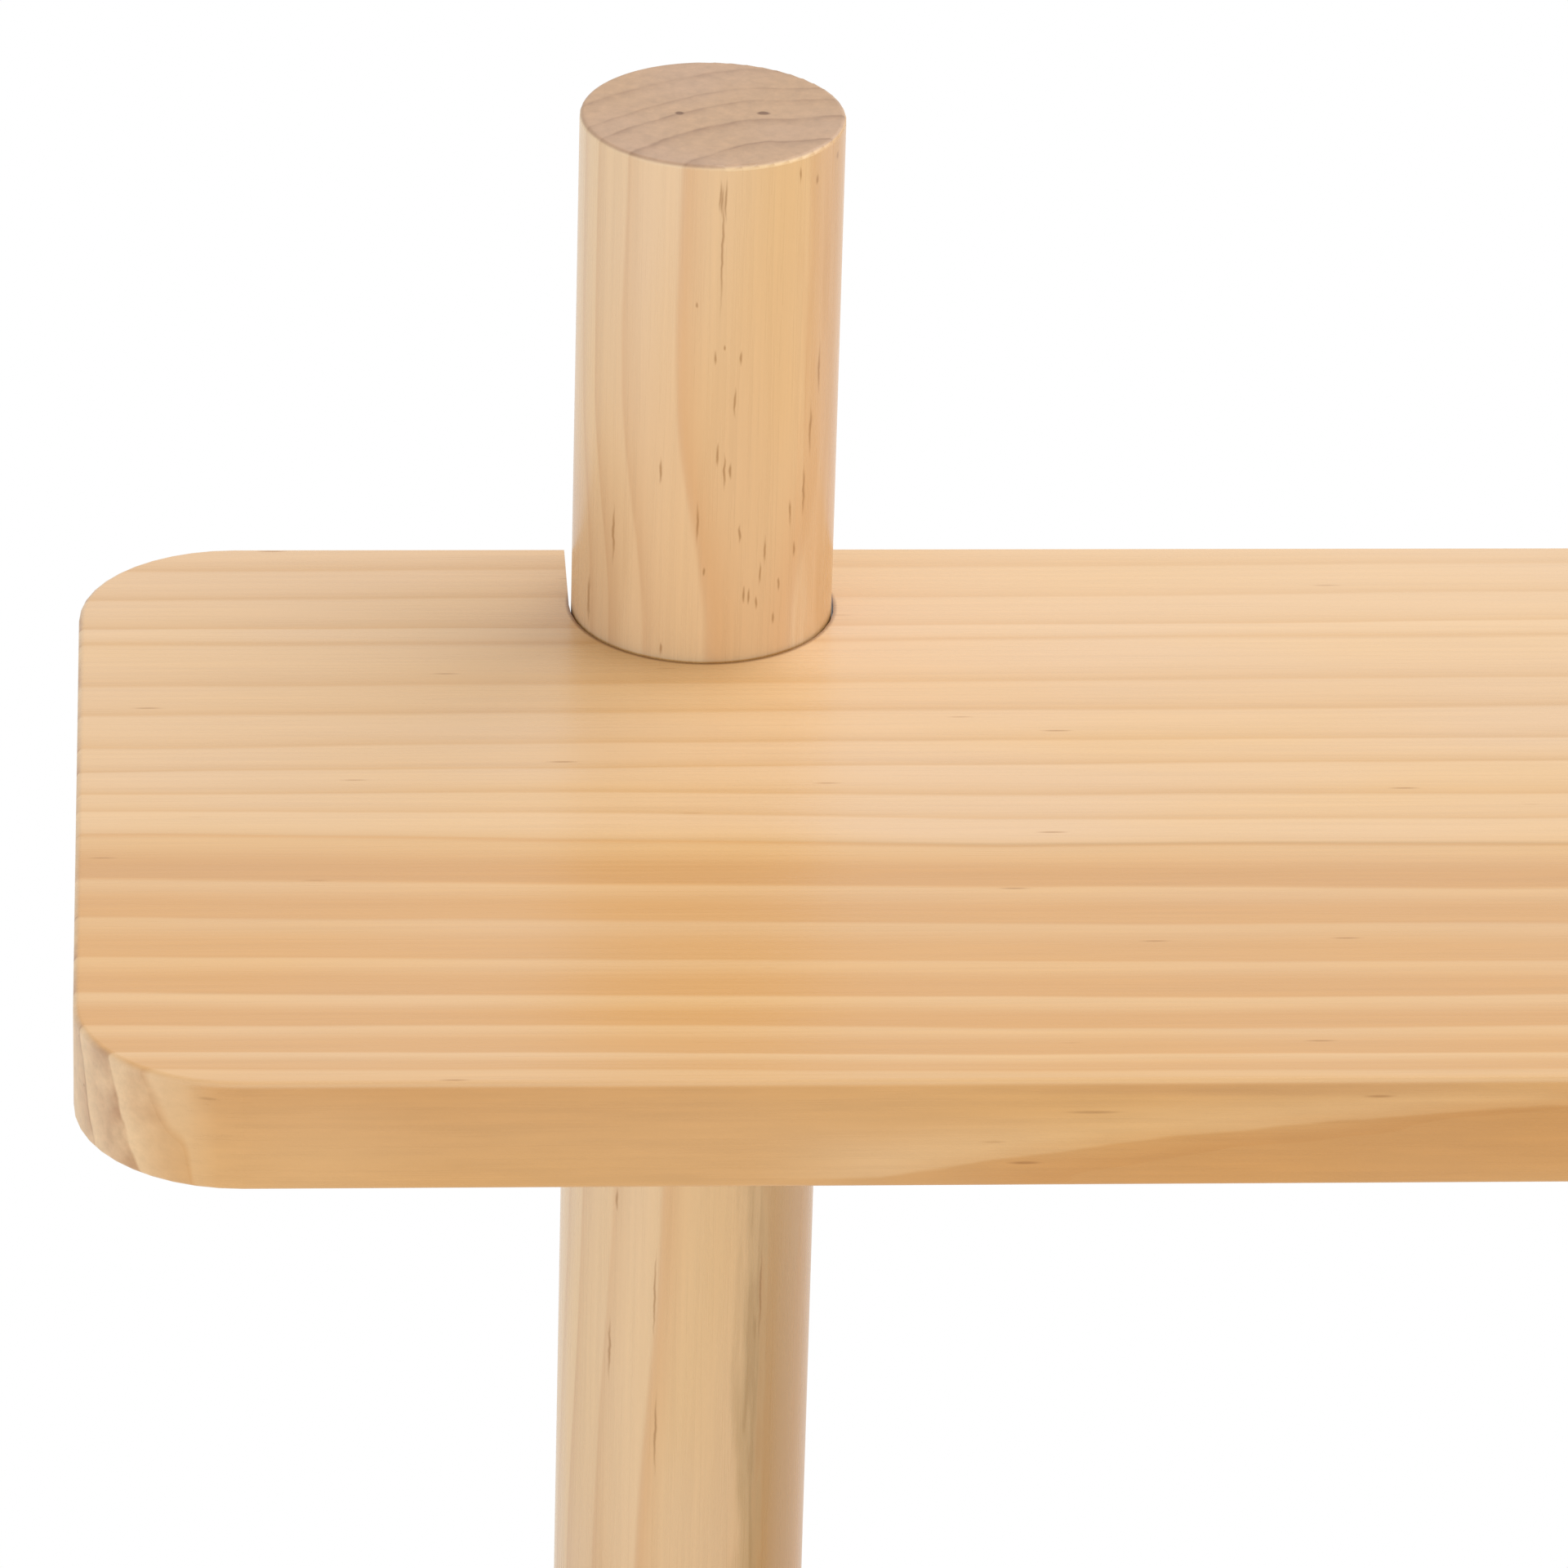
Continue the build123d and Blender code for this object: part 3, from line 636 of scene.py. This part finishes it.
def plated_metal(name, colour, rough, grain_mm, depth_mm):
    """A bare or plated metal: grey highlights, blurred by marks grain_mm across and depth_mm deep.

    Real marks are some 0.1 mm across, and are drawn coarser so that they show.
    """
    material = bpy.data.materials.new(name)
    material.use_nodes = True
    tree = material.node_tree
    tree.nodes.clear()
    coordinates = add(tree, "TexCoord", {}, {})
    place = add(tree, "VectorMath", {"operation": "SCALE"},
                {0: coordinates.outputs["Object"], "Scale": 1 / MM})
    marks = add(tree, "TexNoise", {}, {"Vector": place, "Scale": 1 / grain_mm, "Detail": 5.0,
                                       "Roughness": 0.65})
    clouds = add(tree, "TexNoise", {}, {"Vector": place, "Scale": 1 / 6, "Detail": 2.0})
    shade = add(tree, "MapRange", {}, {"Value": clouds, "To Min": 0.82, "To Max": 1.1})
    tone = add(tree, "VectorMath", {"operation": "SCALE"}, {0: linear(colour)[:3], "Scale": shade})
    roughness = add(tree, "MapRange", {}, {"Value": marks, "To Min": rough - 0.08, "To Max": rough + 0.12})
    bump = add(tree, "Bump", {}, {"Strength": 0.4, "Distance": depth_mm * MM, "Height": marks})
    shader = add(tree, "BsdfPrincipled", {}, {"Base Color": tone, "Metallic": 1.0, "Roughness": roughness,
                                              "Normal": bump})
    add(tree, "OutputMaterial", {}, {"Surface": shader})
    return material


zinc_plate = plated_metal("bright zinc-plated steel", "#C9CDD1", rough=0.28, grain_mm=0.35, depth_mm=0.01)
for piece in ("shelf_bolts", "rail_bolts", "bolt_washers"):
    dress(piece, zinc_plate)


# ---- Barrel nuts and rail inserts --------------------------------------------------------------
# The barrel nuts are turned and zinc-plated like the bolts, but duller from the tumbling barrel.
# The rail's inserts are cast in zinc alloy, plain dull grey, and screwed in from behind.

dress("barrel_nuts", plated_metal("tumbled zinc-plated steel", "#BDC0C2",
                                  rough=0.38, grain_mm=0.5, depth_mm=0.015))
dress("rail_insert_nuts", plated_metal("plain cast zinc alloy", "#A9A9A6",
                                       rough=0.5, grain_mm=0.6, depth_mm=0.03))


# ---- Studio ------------------------------------------------------------------------------------
# A pale floor well below the shelf, even white light from all round, and two broad soft lamps:
# one high up beyond the right-hand end, and one low down in front. The background is white.


def seen_directly(tree):
    """1 for light that reaches the camera straight, in a reflection or through glass, and 0 for the rest."""
    light_path = add(tree, "LightPath", {}, {})
    seen = add(tree, "Math", {"operation": "MAXIMUM"}, {0: light_path.outputs["Is Camera Ray"],
                                                        1: light_path.outputs["Is Glossy Ray"]})
    return add(tree, "Math", {"operation": "MAXIMUM"},
               {0: seen, 1: light_path.outputs["Is Transmission Ray"]})


FLOOR_Z = -0.55
FLOOR_CORNERS = [(-2, -2, FLOOR_Z), (2, -2, FLOOR_Z), (2, 0.3, FLOOR_Z), (-2, 0.3, FLOOR_Z)]
mesh = bpy.data.meshes.new("floor")
mesh.from_pydata(FLOOR_CORNERS, [], [(0, 1, 2, 3)])
floor = bpy.data.objects.new("floor", mesh)
bpy.context.scene.collection.objects.link(floor)
floor_paint = bpy.data.materials.new("pale floor paint")
floor_paint.use_nodes = True
tree = floor_paint.node_tree
tree.nodes.clear()
paint = add(tree, "BsdfDiffuse", {}, {"Color": linear("#F0F0EE")})
white = add(tree, "Emission", {}, {"Color": (1, 1, 1, 1), "Strength": 1.0})
# Seen directly, the floor is three quarters plain white, so that it melts into the background.
plain = 0.75
share = add(tree, "Math", {"operation": "MULTIPLY"}, {0: seen_directly(tree), 1: plain})
surface = add(tree, "MixShader", {}, {0: share, 1: paint, 2: white})
# From below, the object is seen through the floor.
underside = add(tree, "NewGeometry", {}, {}).outputs["Backfacing"]
clear = add(tree, "BsdfTransparent", {}, {})
surface = add(tree, "MixShader", {}, {0: underside, 1: surface, 2: clear})
add(tree, "OutputMaterial", {}, {"Surface": surface})
mesh.materials.append(floor_paint)

world = bpy.data.worlds.new("studio")
bpy.context.scene.world = world
world.use_nodes = True
tree = world.node_tree
tree.nodes.clear()
room = add(tree, "Background", {}, {"Color": (1, 1, 1, 1), "Strength": 0.58})
white = add(tree, "Background", {}, {"Color": (1, 1, 1, 1), "Strength": 1.0})
surface = add(tree, "MixShader", {}, {0: seen_directly(tree), 1: room, 2: white})
add(tree, "OutputWorld", {}, {"Surface": surface})

# Each lamp's spread, azimuth and height in degrees, and how bright it makes what it falls on most.
for name, spread, azimuth, height, share in (("key", 60, 115, 46, 0.39), ("fill", 120, -15, 8, 0.36)):
    lamp_data = bpy.data.lights.new(name, "SUN")
    lamp_data.angle = math.radians(spread)
    turn = math.radians(azimuth)
    tilt = math.radians(height)
    toward = Vector((math.sin(turn) * math.cos(tilt), -math.cos(turn) * math.cos(tilt), math.sin(tilt)))
    lamp_data.energy = share * math.pi / max(toward.z, -toward.y)
    lamp = bpy.data.objects.new(name, lamp_data)
    bpy.context.scene.collection.objects.link(lamp)
    lamp.rotation_euler = toward.to_track_quat("Z", "Y").to_euler()


# ---- Camera ------------------------------------------------------------------------------------
# A long lens a metre and a half away, looking down on the left-hand end of the shelf.

CAMERA_PLACE = (-0.43541, -1.44429, 0.87622)
CAMERA_YAW = math.radians(4.004)
CAMERA_PITCH = math.radians(27.154)
CAMERA_ROLL = math.radians(-1.657)
CAMERA_LENS = 226.193
CAMERA_SENSOR = 36

level_forward = Vector((math.sin(CAMERA_YAW), math.cos(CAMERA_YAW), 0.0))
level_right = Vector((math.cos(CAMERA_YAW), -math.sin(CAMERA_YAW), 0.0))
forward = level_forward * math.cos(CAMERA_PITCH) - Vector((0.0, 0.0, math.sin(CAMERA_PITCH)))
level_up = level_right.cross(forward)
right = level_right * math.cos(CAMERA_ROLL) - level_up * math.sin(CAMERA_ROLL)
up = level_up * math.cos(CAMERA_ROLL) + level_right * math.sin(CAMERA_ROLL)
camera_data = bpy.data.cameras.new("camera")
camera_data.lens = CAMERA_LENS
camera_data.sensor_width = CAMERA_SENSOR
camera = bpy.data.objects.new("camera", camera_data)
bpy.context.scene.collection.objects.link(camera)
camera.matrix_world = Matrix.Translation(CAMERA_PLACE) @ Matrix((right, up, -forward)).transposed().to_4x4()
bpy.context.scene.camera = camera
bpy.context.scene.view_settings.view_transform = "Standard"
